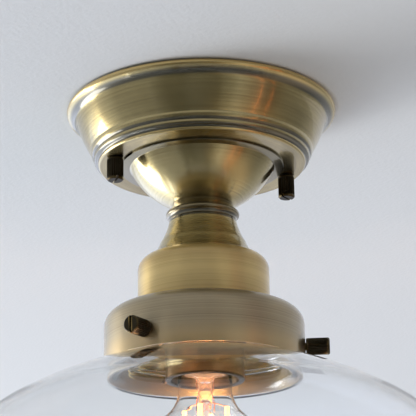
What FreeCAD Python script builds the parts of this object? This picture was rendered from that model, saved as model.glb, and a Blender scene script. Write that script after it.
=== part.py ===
"""Semi flush ceiling light: spun antique brass rose, neck and cups over a clear glass bell.

Lengths are millimetres. The origin is the centre of the mounting strap's top face, which lies
on the ceiling; +Z is up, the light hangs towards -Z, and +X runs through the two rose nuts.
Every turned piece is drawn as a half outline in its own XZ plane and revolved about Z.
"""
import FreeCAD, Part
import math
import os
import Sketcher

SHEET_NAME = "Sizes"

# Driving dimensions: alias, value, what it is.
DRIVING = [
    ("sheet", 1.0, "thickness of the spun brass sheet"),
    ("gap", 0.3, "clearance between pieces that move past each other"),
    ("running", 0.05, "radial clearance of a running fit"),
    ("rim_radius", 70.4, "ceiling pan, outside of the rolled rim"),
    ("pan_depth", 30.7, "ceiling pan, ceiling to its flat face"),
    ("pan_face_radius", 52.4, "ceiling pan, flat face"),
    ("stud_offset", 46.8, "axis to each strap stud"),
    ("stud_radius", 2.0, "M4 stud"),
    ("rose_nut_radius", 4.25, "knurled rose nut"),
    ("rose_nut_length", 12.0, "knurled rose nut"),
    ("stem_radius", 5.0, "M10 threaded stem"),
    ("stem_bore", 3.8, "bore of the stem"),
    ("stem_top", 22.0, "depth of the stem's upper end"),
    ("stem_end", 92.0, "depth of the stem's lower end"),
    ("dome_foot_radius", 42.3, "dome cover, edge of its foot"),
    ("dome_sphere", 41.8, "dome cover, radius of the sphere"),
    ("dome_centre", 13.0, "depth of the sphere's centre"),
    ("dome_depth", 51.9, "depth of the dome's lower face"),
    ("bead_radius", 18.9, "neck collar, crest of its bead"),
    ("collar_depth", 60.8, "depth of the collar's lower face"),
    ("waist_radius", 17.3, "neck bell, narrow end"),
    ("bell_radius", 26.6, "neck bell, wide end"),
    ("cup_top", 80.7, "depth of the small cup's top face"),
    ("cup_radius", 33.5, "small cup"),
    ("cup_corner", 7.0, "small cup, shoulder radius"),
    ("gallery_top", 108.9, "depth of the gallery's top face"),
    ("gallery_radius", 50.5, "shade gallery"),
    ("gallery_corner", 8.5, "shade gallery, shoulder radius"),
    ("gallery_rim", 137.0, "depth of the gallery's open rim"),
    ("gallery_wall", 1.2, "shade gallery, sheet"),
    ("screw_depth", 128.5, "depth of the three shade screws"),
    ("screw_radius", 2.0, "M4 shade screw"),
    ("screw_tip", 45.4, "axis to a shade screw's tip"),
    ("screw_head_radius", 4.25, "knurled head of a shade screw"),
    ("screw_head_length", 11.8, "knurled head of a shade screw"),
    ("holder_radius", 20.1, "lampholder sleeve, outside"),
    ("holder_bore", 17.1, "lampholder sleeve, inside"),
    ("holder_mouth", 141.0, "depth of the lampholder's mouth"),
    ("glass_wall", 3.0, "glass shade"),
    ("glass_neck", 45.0, "glass shade, outside of its neck"),
    ("glass_lip", 48.0, "glass shade, outside of its lip"),
    ("glass_radius", 150.0, "glass shade, widest"),
    ("glass_rim", 252.0, "depth of the glass shade's open rim"),
    ("cap_radius", 13.1, "lamp cap, crest of its thread"),
    ("thread_pitch", 3.6, "round thread of the lamp cap"),
    ("bulb_neck", 13.7, "bulb glass at its neck"),
    ("bulb_radius", 30.0, "bulb glass, widest"),
    ("bulb_centre", 183.0, "depth of the bulb's round centre"),
    ("knurl_depth", 0.35, "depth of a knurl groove"),
    ("knurl_count", 28, "grooves round a knurled head"),
]

# Angles about Z from +X, as the three screws stand round the gallery.
SHADE_SCREWS = {"shade_screw_left": 217.0, "shade_screw_right": 337.0, "shade_screw_back": 97.0}
FILAMENT_ANGLES = (57.0, 147.0, 237.0, 327.0)


class Size:
    """A length with its value and the sheet formula that it comes from."""

    def __init__(self, value, formula=None):
        self.value = float(value)
        self.formula = formula if formula else repr(round(float(value), 4))

    @staticmethod
    def of(other):
        return other if isinstance(other, Size) else Size(other)

    def _with(self, other, value, sign):
        return Size(value, "(%s %s %s)" % (self.formula, sign, other.formula))

    def __add__(self, other):
        other = Size.of(other)
        return self._with(other, self.value + other.value, "+")

    def __radd__(self, other):
        return Size.of(other) + self

    def __sub__(self, other):
        other = Size.of(other)
        return self._with(other, self.value - other.value, "-")

    def __rsub__(self, other):
        return Size.of(other) - self

    def __mul__(self, other):
        other = Size.of(other)
        return self._with(other, self.value * other.value, "*")

    def __rmul__(self, other):
        return Size.of(other) * self

    def __truediv__(self, other):
        other = Size.of(other)
        return self._with(other, self.value / other.value, "/")

    def __neg__(self):
        return Size(-self.value, "(0 - %s)" % self.formula)

    def root(self):
        return Size(math.sqrt(self.value), "sqrt(%s)" % self.formula)


class Sizes:
    """The driving sheet: each alias is an attribute that gives its Size."""

    def __init__(self, doc):
        table = doc.addObject("Spreadsheet::Sheet", SHEET_NAME)
        for row, (alias, value, note) in enumerate(DRIVING, start=1):
            table.set("A%d" % row, note)
            table.set("B%d" % row, str(value))
            table.setAlias("B%d" % row, alias)
            setattr(self, alias, Size(value, "%s.%s" % (SHEET_NAME, alias)))
        doc.recompute()


doc = FreeCAD.newDocument("semi_flush_ceiling_light")
s = Sizes(doc)
NODES = []


# ---------------------------------------------------------------- drawing helpers

def at(x, y, arc=None):
    """A corner of an outline. arc is the radius of the round edge that arrives here,
    positive where it turns left, negative where it turns right."""
    return Size.of(x), Size.of(y), (None if arc is None else Size.of(arc))


def new_body(name):
    body = doc.addObject("PartDesign::Body", name)
    body.Label = name
    NODES.append(body)
    return body


def new_sketch(body, name, role, height=None):
    sketch = body.newObject("Sketcher::SketchObject", name)
    plane = next(f for f in body.Origin.OriginFeatures if f.Role == role)
    sketch.AttachmentSupport = [(plane, "")]
    sketch.MapMode = "FlatFace"
    if height is not None:
        height = Size.of(height)
        sketch.AttachmentOffset = FreeCAD.Placement(
            FreeCAD.Vector(0, 0, height.value), FreeCAD.Rotation())
        sketch.setExpression("AttachmentOffset.Base.z", height.formula)
    return sketch


def bind(sketch, kind, ends, size):
    """A dimension that follows the sheet."""
    index = sketch.addConstraint(Sketcher.Constraint(kind, *ends, size.value))
    sketch.setExpression("Constraints[%d]" % index, size.formula)


def arc_between(start, end, radius):
    """The short arc from start to end; a positive radius turns left."""
    chord = end - start
    height = math.sqrt(max(radius * radius - (chord.Length / 2) ** 2, 0.0))
    left = FreeCAD.Vector(-chord.y, chord.x, 0).normalize()
    side = 1 if radius > 0 else -1
    centre = (start + end) * 0.5 + left * height * side
    middle = centre - left * abs(radius) * side
    return Part.Arc(start, middle, end)


def draw_outline(sketch, corners):
    """A closed outline whose corners and arcs are all bound to the sheet."""
    count = len(corners)
    points = [FreeCAD.Vector(x.value, y.value, 0) for x, y, _ in corners]
    for i in range(count):
        start = points[i]
        end = points[(i + 1) % count]
        arc = corners[(i + 1) % count][2]
        edge = Part.LineSegment(start, end) if arc is None else arc_between(start, end, arc.value)
        sketch.addGeometry(edge, False)
    starts = []
    for i in range(count):
        arc = corners[(i + 1) % count][2]
        starts.append((1, 2) if arc is None or arc.value > 0 else (2, 1))
    for i in range(count):
        following = (i + 1) % count
        sketch.addConstraint(Sketcher.Constraint(
            "Coincident", i, starts[i][1], following, starts[following][0]))
    for i in range(count):
        bind(sketch, "DistanceX", (-1, 1, i, starts[i][0]), corners[i][0])
        bind(sketch, "DistanceY", (-1, 1, i, starts[i][0]), corners[i][1])
        arc = corners[(i + 1) % count][2]
        if arc is not None:
            bind(sketch, "Radius", (i,), arc if arc.value > 0 else -arc)


def turned(name, corners, body=None):
    """A piece turned or spun about Z."""
    body = body or new_body(name)
    sketch = new_sketch(body, name + "_outline", "XZ_Plane")
    draw_outline(sketch, corners)
    spin = body.newObject("PartDesign::Revolution", name + "_turned")
    spin.Profile = sketch
    spin.ReferenceAxis = (sketch, ["V_Axis"])
    spin.Angle = 360
    sketch.Visibility = False
    return body


def circle(sketch, x, y, radius):
    x, y, radius = Size.of(x), Size.of(y), Size.of(radius)
    index = sketch.GeometryCount
    sketch.addGeometry(Part.Circle(FreeCAD.Vector(x.value, y.value, 0), FreeCAD.Vector(0, 0, 1),
                                   radius.value), False)
    bind(sketch, "Radius", (index,), radius)
    bind(sketch, "DistanceX", (-1, 1, index, 3), x)
    bind(sketch, "DistanceY", (-1, 1, index, 3), y)


def rectangle(sketch, x0, y0, x1, y1):
    draw_outline(sketch, [at(x0, y0), at(x1, y0), at(x1, y1), at(x0, y1)])


def pad(body, sketch, length, downward=False):
    length = Size.of(length)
    feature = body.newObject("PartDesign::Pad", sketch.Name + "_pad")
    feature.Profile = sketch
    feature.Length = length.value
    feature.setExpression("Length", length.formula)
    feature.Reversed = downward
    return feature


def pocket(body, sketch, depth=None, upward=False):
    """A cut from the sketch's plane, downward unless upward, through all without a depth."""
    feature = body.newObject("PartDesign::Pocket", sketch.Name + "_cut")
    feature.Profile = sketch
    feature.Reversed = upward
    if depth is None:
        feature.Type = "ThroughAll"
    else:
        depth = Size.of(depth)
        feature.Length = depth.value
        feature.setExpression("Length", depth.formula)
    return feature


def bored(body, name, height, holes, depth=None, upward=False):
    """Round holes (x, y, radius) cut from a plane at the given height."""
    sketch = new_sketch(body, name, "XY_Plane", height)
    for x, y, radius in holes:
        circle(sketch, x, y, radius)
    return pocket(body, sketch, depth, upward)


def place(body, x, y, z, rotation=None):
    """Puts a finished body where it belongs, with its position bound to the sheet."""
    x, y, z = Size.of(x), Size.of(y), Size.of(z)
    body.Placement = FreeCAD.Placement(FreeCAD.Vector(x.value, y.value, z.value),
                                       rotation or FreeCAD.Rotation())
    for axis, size in zip("xyz", (x, y, z)):
        body.setExpression("Placement.Base.%s" % axis, size.formula)


def shape_of(name, shape):
    """A piece whose separate solids are worked out in one go from the sheet."""
    feature = doc.addObject("Part::Feature", name)
    feature.Label = name
    feature.Shape = shape
    NODES.append(feature)
    return feature


def rod(radius, length, x, y, z):
    """A round bar along Z that starts at x, y, z and runs down."""
    return Part.makeCylinder(radius, length, FreeCAD.Vector(x, y, z), FreeCAD.Vector(0, 0, -1))


def knurl(body, name, radius, top, length):
    """Straight knurling: one V groove along the head, repeated round the axis."""
    sketch = new_sketch(body, name + "_groove", "XY_Plane", top)
    depth = s.knurl_depth
    outside = radius + 0.2
    draw_outline(sketch, [at(radius - depth, 0), at(outside, depth * 1.1), at(outside, depth * -1.1)])
    cut = pocket(body, sketch, length)
    doc.recompute()
    pattern = body.newObject("PartDesign::PolarPattern", name + "_knurl")
    pattern.Originals = [cut]
    pattern.Axis = (next(f for f in body.Origin.OriginFeatures if f.Role == "Z_Axis"), [""])
    pattern.Angle = 360
    pattern.Occurrences = int(s.knurl_count.value)
    body.Tip = pattern
    return pattern


# ---------------------------------------------------------------- fixing to the ceiling

STRAP_LENGTH = 112.0
STRAP_WIDTH = 20.0
STRAP_THICKNESS = 2.0
CEILING_SCREW_OFFSET = 30.0
CEILING_SCREW_HOLE = 2.25
CABLE_HOLE = 6.0
EARTH_SCREW_X = 15.0
EARTH_SCREW_RADIUS = 1.75
EARTH_HEAD_RADIUS = 3.5
EARTH_HEAD_HEIGHT = 2.4
BLOCK_START = -22.0
BLOCK_END = -7.0
BLOCK_MIDDLE = (BLOCK_START + BLOCK_END) / 2
BLOCK_HALF = 13.5
BLOCK_HEIGHT = 13.0
BLOCK_FACE = -STRAP_THICKNESS - BLOCK_HEIGHT
WAYS = (-9.0, 0.0, 9.0)
WIRE_HEIGHT = -STRAP_THICKNESS - 6.5
WIRE_HOLE = 1.6
WELLS = [(x, way) for way in WAYS for x in (BLOCK_START + 3.5, BLOCK_END - 3.5)]
WELL_RADIUS = 1.9
WELL_DEPTH = 4.0
BLOCK_SCREWS = [(BLOCK_MIDDLE, -4.5), (BLOCK_MIDDLE, 4.5)]
BLOCK_SCREW_RADIUS = 1.5


def mounting_strap():
    """Flat steel bar: two ceiling screw holes, cable hole, threaded stud and earth holes."""
    body = new_body("mounting_strap")
    sketch = new_sketch(body, "strap_outline", "XY_Plane")
    half = STRAP_LENGTH / 2 - STRAP_WIDTH / 2
    wide = STRAP_WIDTH / 2
    draw_outline(sketch, [at(-half, -wide, wide), at(half, -wide), at(half + wide, 0, wide),
                          at(half, wide, wide), at(-half, wide), at(-half - wide, 0, wide)])
    pad(body, sketch, STRAP_THICKNESS, downward=True)
    doc.recompute()
    holes = [(0, 0, CABLE_HOLE), (EARTH_SCREW_X, 0, EARTH_SCREW_RADIUS)]
    for side in (-1, 1):
        holes.append((side * CEILING_SCREW_OFFSET, 0, CEILING_SCREW_HOLE))
        holes.append((side * s.stud_offset, 0, s.stud_radius))
    for x, y in BLOCK_SCREWS:
        holes.append((x, y, BLOCK_SCREW_RADIUS))
    bored(body, "strap_holes", 0, holes)


def strap_studs():
    """Two M4 studs screwed up into the strap; the rose nuts run on their lower ends."""
    length = s.pan_depth.value + 8.0
    studs = []
    for side in (-1, 1):
        stud = rod(s.stud_radius.value, length, side * s.stud_offset.value, 0, 0)
        studs.append(stud)
    shape_of("strap_studs", Part.makeCompound(studs))


def stud_lock_nuts():
    """A hex nut locks each stud under the strap."""
    body_shapes = []
    for side in (-1, 1):
        centre = FreeCAD.Vector(side * s.stud_offset.value, 0, -STRAP_THICKNESS)
        body_shapes.append(hex_nut(centre, 7.0, 3.2, s.stud_radius.value))
    shape_of("stud_lock_nuts", Part.makeCompound(body_shapes))


def hex_nut(top, flats, height, bore):
    """A hexagon nut that hangs down from the point top, with its outer corners chamfered."""
    corner = flats / math.sqrt(3)
    ring = [top + FreeCAD.Vector(corner * math.cos(math.radians(60 * k)),
                                 corner * math.sin(math.radians(60 * k)), 0) for k in range(7)]
    prism = Part.Face(Part.makePolygon(ring)).extrude(FreeCAD.Vector(0, 0, -height))
    down = FreeCAD.Vector(0, 0, -1)
    rounding = Part.makeCone(flats / 2 + height, flats / 2, height, top, down)
    return prism.common(rounding).cut(Part.makeCylinder(bore, height, top, down))


def screw(top, head_radius, head_height, shank_radius, shank_length):
    """A slotted pan head screw, head down, whose shank goes up from the point top."""
    down = FreeCAD.Vector(0, 0, -1)
    head = Part.makeCylinder(head_radius, head_height, top, down)
    slot = Part.makeBox(2 * head_radius, 0.8, 0.9,
                        top + FreeCAD.Vector(-head_radius, -0.4, -head_height))
    shank = Part.makeCylinder(shank_radius, shank_length, top, FreeCAD.Vector(0, 0, 1))
    return head.cut(slot).fuse(shank)


def earth_screw():
    top = FreeCAD.Vector(EARTH_SCREW_X, 0, -STRAP_THICKNESS)
    shape_of("earth_screw", screw(
        top, EARTH_HEAD_RADIUS, EARTH_HEAD_HEIGHT, EARTH_SCREW_RADIUS, STRAP_THICKNESS))


def terminal_block():
    """Three-way block under the strap; each way has a wire hole along X and two screw wells."""
    body = new_body("terminal_block")
    sketch = new_sketch(body, "block_outline", "XY_Plane", -STRAP_THICKNESS)
    rectangle(sketch, BLOCK_START, -BLOCK_HALF, BLOCK_END, BLOCK_HALF)
    pad(body, sketch, BLOCK_HEIGHT, downward=True)
    doc.recompute()
    wires = new_sketch(body, "wire_holes", "YZ_Plane", BLOCK_START)
    for way in WAYS:
        circle(wires, way, WIRE_HEIGHT, WIRE_HOLE)
    pocket(body, wires, upward=True)
    doc.recompute()
    wells = [(x, y, WELL_RADIUS) for x, y in WELLS]
    bored(body, "screw_wells", BLOCK_FACE, wells, WELL_DEPTH, upward=True)
    doc.recompute()
    fixings = [(x, y, BLOCK_SCREW_RADIUS) for x, y in BLOCK_SCREWS]
    bored(body, "fixing_holes", BLOCK_FACE, fixings, upward=True)


def terminal_screws():
    """Six slotted grub screws, one in each well of the block."""
    recess = 1.0
    screws = []
    for x, y in WELLS:
        grub = rod(WELL_RADIUS, WELL_DEPTH - recess, x, y, BLOCK_FACE + WELL_DEPTH)
        corner = FreeCAD.Vector(x - WELL_RADIUS, y - 0.3, BLOCK_FACE + recess)
        screws.append(grub.cut(Part.makeBox(2 * WELL_RADIUS, 0.6, 0.8, corner)))
    shape_of("terminal_screws", Part.makeCompound(screws))


def terminal_block_screws():
    """Two screws hold the block up against the strap, between its ways."""
    length = BLOCK_HEIGHT + STRAP_THICKNESS
    screws = [screw(FreeCAD.Vector(x, y, BLOCK_FACE), 2.6, 1.8, BLOCK_SCREW_RADIUS, length)
              for x, y in BLOCK_SCREWS]
    shape_of("terminal_block_screws", Part.makeCompound(screws))


# ---------------------------------------------------------------- spun and turned brass

def ceiling_pan():
    """Spun rose: rolled rim, cove, tapering wall, two soft grooves round a bead, flat face."""
    depth = s.pan_depth
    sheet = s.sheet
    rim = s.rim_radius
    face = s.pan_face_radius
    wall_end = face + 5.3
    hole = s.stem_radius
    turned("ceiling_pan", [
        at(rim - 2.2, 0),
        at(rim - 2.4, -2.4),
        at(rim - 6.6, -7.6, 6.0),
        at(wall_end - 1.2, -depth + 8.1, -60.0),
        at(face + 1.6, -depth + 3.4),
        at(face - 0.6, sheet - depth),
        at(hole, sheet - depth),
        at(hole, -depth),
        at(face, -depth),
        at(face + 1.6, -depth + 1.4, 1.3),
        at(face + 2.4, -depth + 2.9),
        at(face + 3.8, -depth + 4.8, 1.6),
        at(face + 4.2, -depth + 6.0),
        at(wall_end, -depth + 8.3),
        at(rim - 5.8, -7.9, 60.0),
        at(rim - 2.2, -3.9, -5.6),
        at(rim - 1.6, -3.5),
        at(rim - 0.9, 0, 1.9),
    ])
    body = NODES[-1]
    doc.recompute()
    holes = [(side * s.stud_offset, 0, s.stud_radius + 0.3) for side in (-1, 1)]
    bored(body, "pan_stud_holes", sheet - depth, holes, sheet * 2)


def dome_cover():
    """Spun dome with a thin turned-out foot that lies on the pan's flat face."""
    sphere = s.dome_sphere
    inner = sphere - s.sheet
    depth = s.dome_depth
    low = depth - s.dome_centre
    high = s.pan_depth - s.dome_centre
    under_foot = high + s.sheet
    turned("dome_cover", [
        at(s.stem_radius, -depth),
        at((sphere * sphere - low * low).root(), -depth),
        at((sphere * sphere - under_foot * under_foot).root(), -s.pan_depth - s.sheet, sphere),
        at(s.dome_foot_radius, -s.pan_depth - s.sheet),
        at(s.dome_foot_radius, -s.pan_depth),
        at((inner * inner - high * high).root(), -s.pan_depth),
        at((inner * inner - (low - s.sheet) * (low - s.sheet)).root(), s.sheet - depth, -inner),
        at(s.stem_radius, s.sheet - depth),
    ])


def neck_collar():
    """Turned ring with a rounded bead, between the dome and the bell."""
    top = -s.dome_depth
    low = -s.collar_depth
    turned("neck_collar", [
        at(s.stem_radius, low),
        at(s.waist_radius, low),
        at(s.waist_radius, low + 1.0),
        at(s.bead_radius - 0.3, low + 2.4, -1.6),
        at(s.bead_radius - 0.3, low + 4.4, 1.8),
        at(s.bead_radius - 3.2, top, -6.0),
        at(s.stem_radius, top),
    ])


def neck_bell():
    """Spun bell that flares from the waist down onto the small cup."""
    top = -s.collar_depth
    low = -s.cup_top
    sheet = s.sheet * 1.2
    turned("neck_bell", [
        at(s.bell_radius - sheet, low),
        at(s.bell_radius, low),
        at(s.waist_radius + 4.6, low + 8.0, -24.0),
        at(s.waist_radius, top, -34.0),
        at(s.stem_radius, top),
        at(s.stem_radius, top - sheet),
        at(s.waist_radius - sheet, top - sheet),
        at(s.waist_radius + 4.6 - sheet, low + 8.0, 34.0),
    ])


def cup_outline(hole, radius, corner, top, low, sheet):
    """Half outline of a spun cup: flat top with a hole, rounded shoulder, straight wall."""
    return [
        at(hole, -top - sheet),
        at(radius - corner, -top - sheet),
        at(radius - sheet, -top - corner, sheet - corner),
        at(radius - sheet, -low),
        at(radius, -low),
        at(radius, -top - corner),
        at(radius - corner, -top, corner),
        at(hole, -top),
    ]


def lampholder_cup():
    turned("lampholder_cup", cup_outline(
        s.stem_radius, s.cup_radius, s.cup_corner, s.cup_top, s.gallery_top, s.sheet))


def shade_gallery():
    """Large cup that carries the glass, with three threaded holes for the shade screws."""
    outline = cup_outline(s.holder_radius + s.gap, s.gallery_radius, s.gallery_corner,
                          s.gallery_top, s.gallery_rim, s.gallery_wall)
    body = turned("shade_gallery", outline)
    doc.recompute()
    for number, angle in enumerate(SHADE_SCREWS.values(), start=1):
        sketch = new_sketch(body, "screw_hole_%d" % number, "XZ_Plane")
        sketch.AttachmentOffset = FreeCAD.Placement(
            FreeCAD.Vector(0, 0, 0), FreeCAD.Rotation(FreeCAD.Vector(0, 1, 0), angle - 90.0))
        circle(sketch, 0, -s.screw_depth, s.screw_radius + s.running)
        hole = pocket(body, sketch, s.gallery_radius + 5)
        doc.recompute()
        body.Tip = hole


# ---------------------------------------------------------------- stem and lampholder

def stem_tube():
    turned("stem_tube", [
        at(s.stem_bore, -s.stem_end),
        at(s.stem_radius, -s.stem_end),
        at(s.stem_radius, -s.stem_top),
        at(s.stem_bore, -s.stem_top),
    ])


def stem_fixings():
    """Washer and nut inside the pan, and a nut under the small cup's top."""
    top_face = s.sheet.value - s.pan_depth.value
    washer = rod(8.5, 1.0, 0, 0, top_face + 1.0).cut(
        rod(s.stem_radius.value, 1.0, 0, 0, top_face + 1.0))
    shape_of("stem_washer", washer)
    shape_of("stem_top_nut", hex_nut(
        FreeCAD.Vector(0, 0, top_face + 4.0), 14.0, 3.0, s.stem_radius.value))
    shape_of("stem_lower_nut", hex_nut(
        FreeCAD.Vector(0, 0, -s.cup_top.value - s.sheet.value), 14.0, 3.0, s.stem_radius.value))


CAP_TOP = 86.0
CAP_BASE = 99.0
FLANGE_HEIGHT = 2.0
RING_HEIGHT = 3.5
SHELL_TOP = 104.0


def holder_cap():
    """Domed lampholder cap with the threaded entry for the stem."""
    turned("holder_cap", [
        at(s.stem_radius, -CAP_TOP - 5.5),
        at(8.0, -CAP_TOP - 6.5),
        at(s.holder_radius - 1.2, -CAP_BASE + 1.0, -13.0),
        at(s.holder_radius - 1.2, -CAP_BASE),
        at(s.holder_radius, -CAP_BASE),
        at(s.holder_radius, -CAP_BASE + 2.0),
        at(8.0, -CAP_TOP - 5.0, 13.0),
        at(8.0, -CAP_TOP),
        at(s.stem_radius, -CAP_TOP),
    ])


def holder_sleeve():
    """Threaded skirt of the lampholder; its flange sits on the gallery's top plate."""
    turned("holder_sleeve", [
        at(s.holder_bore, -s.holder_mouth),
        at(s.holder_radius - 0.6, -s.holder_mouth),
        at(s.holder_radius, -s.holder_mouth + 0.6, 0.6),
        at(s.holder_radius, -s.gallery_top),
        at(s.holder_radius + 4.0, -s.gallery_top),
        at(s.holder_radius + 4.0, -s.gallery_top + FLANGE_HEIGHT),
        at(s.holder_radius, -s.gallery_top + FLANGE_HEIGHT),
        at(s.holder_radius, -CAP_BASE),
        at(s.holder_bore, -CAP_BASE),
    ])


def shade_ring():
    """Ring nut that clamps the gallery against the sleeve's flange, with eight grip notches."""
    top = -s.gallery_top - s.gallery_wall
    body = turned("shade_ring", [
        at(s.holder_radius, top - RING_HEIGHT),
        at(s.holder_radius + 5.4, top - RING_HEIGHT),
        at(s.holder_radius + 6.0, top - RING_HEIGHT + 0.6),
        at(s.holder_radius + 6.0, top),
        at(s.holder_radius, top),
    ])
    doc.recompute()
    sketch = new_sketch(body, "grip_notch", "XY_Plane", top)
    circle(sketch, s.holder_radius + 7.0, 0, 2.0)
    cut = pocket(body, sketch, RING_HEIGHT + 1.0)
    doc.recompute()
    pattern = body.newObject("PartDesign::PolarPattern", "grip_notches")
    pattern.Originals = [cut]
    pattern.Axis = (next(f for f in body.Origin.OriginFeatures if f.Role == "Z_Axis"), [""])
    pattern.Angle = 360
    pattern.Occurrences = 8
    body.Tip = pattern


def holder_insulator():
    """Moulded core that fills the top of the sleeve and carries shell and contact."""
    turned("holder_insulator", [
        at(0, -SHELL_TOP),
        at(s.holder_bore, -SHELL_TOP),
        at(s.holder_bore, -CAP_BASE - 0.5),
        at(s.holder_bore - 3.0, -CAP_BASE + 2.0),
        at(0, -CAP_BASE + 2.0),
    ])


def thread_wave(radius, top, turns):
    """Rounded thread as rings: crest and root corners down from the depth top."""
    depth = 0.9
    corners = []
    for turn in range(turns):
        level = top + s.thread_pitch * turn
        half = s.thread_pitch * 0.5
        corners.append(at(radius - depth, -level))
        corners.append(at(radius, -level - half))
    corners.append(at(radius - depth, -top - s.thread_pitch * turns))
    return corners


def screw_shell():
    """Thin brass shell with the rounded thread that takes the lamp cap."""
    inside = s.cap_radius + 0.45
    turns = 6
    wave = thread_wave(inside, SHELL_TOP + 2.0, turns)
    skin = [at(x + 0.5, y) for x, y, _ in wave]
    end = SHELL_TOP + 2.0 + s.thread_pitch * turns
    turned("screw_shell", [at(inside, -SHELL_TOP)] + wave
           + [at(inside - 0.2, -end - 2.0), at(inside + 0.5, -end - 2.0)]
           + skin[::-1] + [at(inside + 0.5, -SHELL_TOP)])


def centre_contact():
    """Sprung tongue that bears on the tip of the lamp cap."""
    shape_of("centre_contact", rod(4.0, 1.0, 0, 0, -SHELL_TOP).fuse(
        Part.makeBox(5.0, 4.0, 0.6, FreeCAD.Vector(3.0, -2.0, -SHELL_TOP - 0.6))))


def contact_screws():
    """Two wire screws in the top of the insulator."""
    screws = []
    for side in (-1, 1):
        foot = FreeCAD.Vector(side * CONTACT_SCREW_X, 0, -CAP_BASE + 2.0)
        screws.append(Part.makeCylinder(CONTACT_SCREW_RADIUS, 1.6, foot))
    shape_of("contact_screws", Part.makeCompound(screws))


# ---------------------------------------------------------------- wiring inside

LEAD_RADIUS = 1.1
CONTACT_SCREW_X = 9.0
CONTACT_SCREW_RADIUS = 2.6


def lead(name, route):
    """An insulated wire: straight runs joined by tangent arcs along the points of its route."""
    points = [FreeCAD.Vector(*point) for point in route]
    edges = []
    start = points[0]
    for before, corner, after in zip(points, points[1:], points[2:]):
        back = before - corner
        onward = after - corner
        turn = math.pi - back.getAngle(onward)
        reach = 0.45 * min(back.Length, onward.Length)
        radius = reach / math.tan(turn / 2)
        back.normalize()
        onward.normalize()
        middle_line = (back + onward).normalize()
        bow = radius / math.cos(turn / 2) - radius
        edges.append(Part.LineSegment(start, corner + back * reach).toShape())
        edges.append(Part.Arc(corner + back * reach, corner + middle_line * bow,
                              corner + onward * reach).toShape())
        start = corner + onward * reach
    edges.append(Part.LineSegment(start, points[-1]).toShape())
    section = Part.Wire(Part.makeCircle(LEAD_RADIUS, points[0], points[1] - points[0]))
    tube = Part.Wire(edges).makePipeShell([section], True, False)
    shape_of(name, tube)
    length = sum(edge.Length for edge in edges)
    print("%s: length %.1f mm, volume over section times length %.3f" % (
        name, length, tube.Volume / (math.pi * LEAD_RADIUS ** 2 * length)))


def leads():
    """Live and neutral go from the block down the stem to the holder, earth to the strap."""
    inside_block = BLOCK_END - 3.0
    screw_side = CONTACT_SCREW_X - CONTACT_SCREW_RADIUS
    in_stem = 1.7
    above_insulator = -CAP_BASE + 3.3
    for name, side in (("lead_live", -1), ("lead_neutral", 1)):
        lead(name, [
            (inside_block, side * WAYS[2], WIRE_HEIGHT),
            (0, side * WAYS[2], WIRE_HEIGHT),
            (0, side * in_stem, -s.stem_top.value + 5.0),
            (0, side * in_stem, above_insulator),
            (side * screw_side, side * 0.6, above_insulator),
        ])
    beside_head = EARTH_SCREW_X - EARTH_HEAD_RADIUS
    under_strap = -STRAP_THICKNESS - LEAD_RADIUS - 0.2
    lead("lead_earth", [
        (inside_block, 0, WIRE_HEIGHT),
        (3.0, 0, WIRE_HEIGHT),
        (8.0, 0, under_strap),
        (beside_head, 0, under_strap),
    ])


# ---------------------------------------------------------------- glass shade

def glass_shade():
    """Clear bell: rolled lip, short neck, wide domed shoulder, open rim."""
    wall = s.glass_wall
    neck = s.glass_neck
    lip = s.glass_lip
    radius = s.glass_radius
    rim = -s.glass_rim
    turned("glass_shade", [
        at(neck - wall, -122.4),
        at(neck - wall, -134.0),
        at(neck - wall + 4.6, -139.6, 6.0),
        at(100.0 - 1.9, -161.4, -190.0),
        at(138.0 - 2.4, -203.4, -98.0),
        at(radius - wall, -246.0, -82.0),
        at(radius - wall, rim + 0.8),
        at(radius - wall + 0.8, rim),
        at(radius - 0.8, rim),
        at(radius, rim + 0.8),
        at(radius, -246.0),
        at(138.0, -201.6, 85.0),
        at(100.0, -158.8, 101.0),
        at(neck + 4.8, -137.5, 193.0),
        at(neck, -133.6, -4.2),
        at(neck, -126.4),
        at(lip - 1.4, -125.8),
        at(lip - 1.4, -122.2, 1.9),
    ])


# ---------------------------------------------------------------- screws and nuts that turn

def rose_nut(name, side):
    """Knurled nut with a blind thread above and a driver slot below."""
    top = 0.0
    length = s.rose_nut_length
    radius = s.rose_nut_radius
    bore = s.stud_radius + s.running
    body = turned(name, [
        at(0, -length),
        at(radius - 0.5, -length),
        at(radius, -length + 0.5),
        at(radius, top - 0.4),
        at(radius - 0.4, top),
        at(bore, top),
        at(bore, top - 9.0),
        at(0, top - 9.0),
    ])
    doc.recompute()
    knurl(body, name, radius, top - 1.2, length - 2.4)
    doc.recompute()
    slot = new_sketch(body, name + "_slot", "XY_Plane", -length)
    rectangle(slot, -6.0, -0.6, 6.0, 0.6)
    cut = pocket(body, slot, 1.6, upward=True)
    body.Tip = cut
    turn = 90.0 if side < 0 else 35.0
    place(body, side * s.stud_offset, 0, -s.pan_depth - s.gap,
          FreeCAD.Rotation(FreeCAD.Vector(0, 0, 1), turn))


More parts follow.
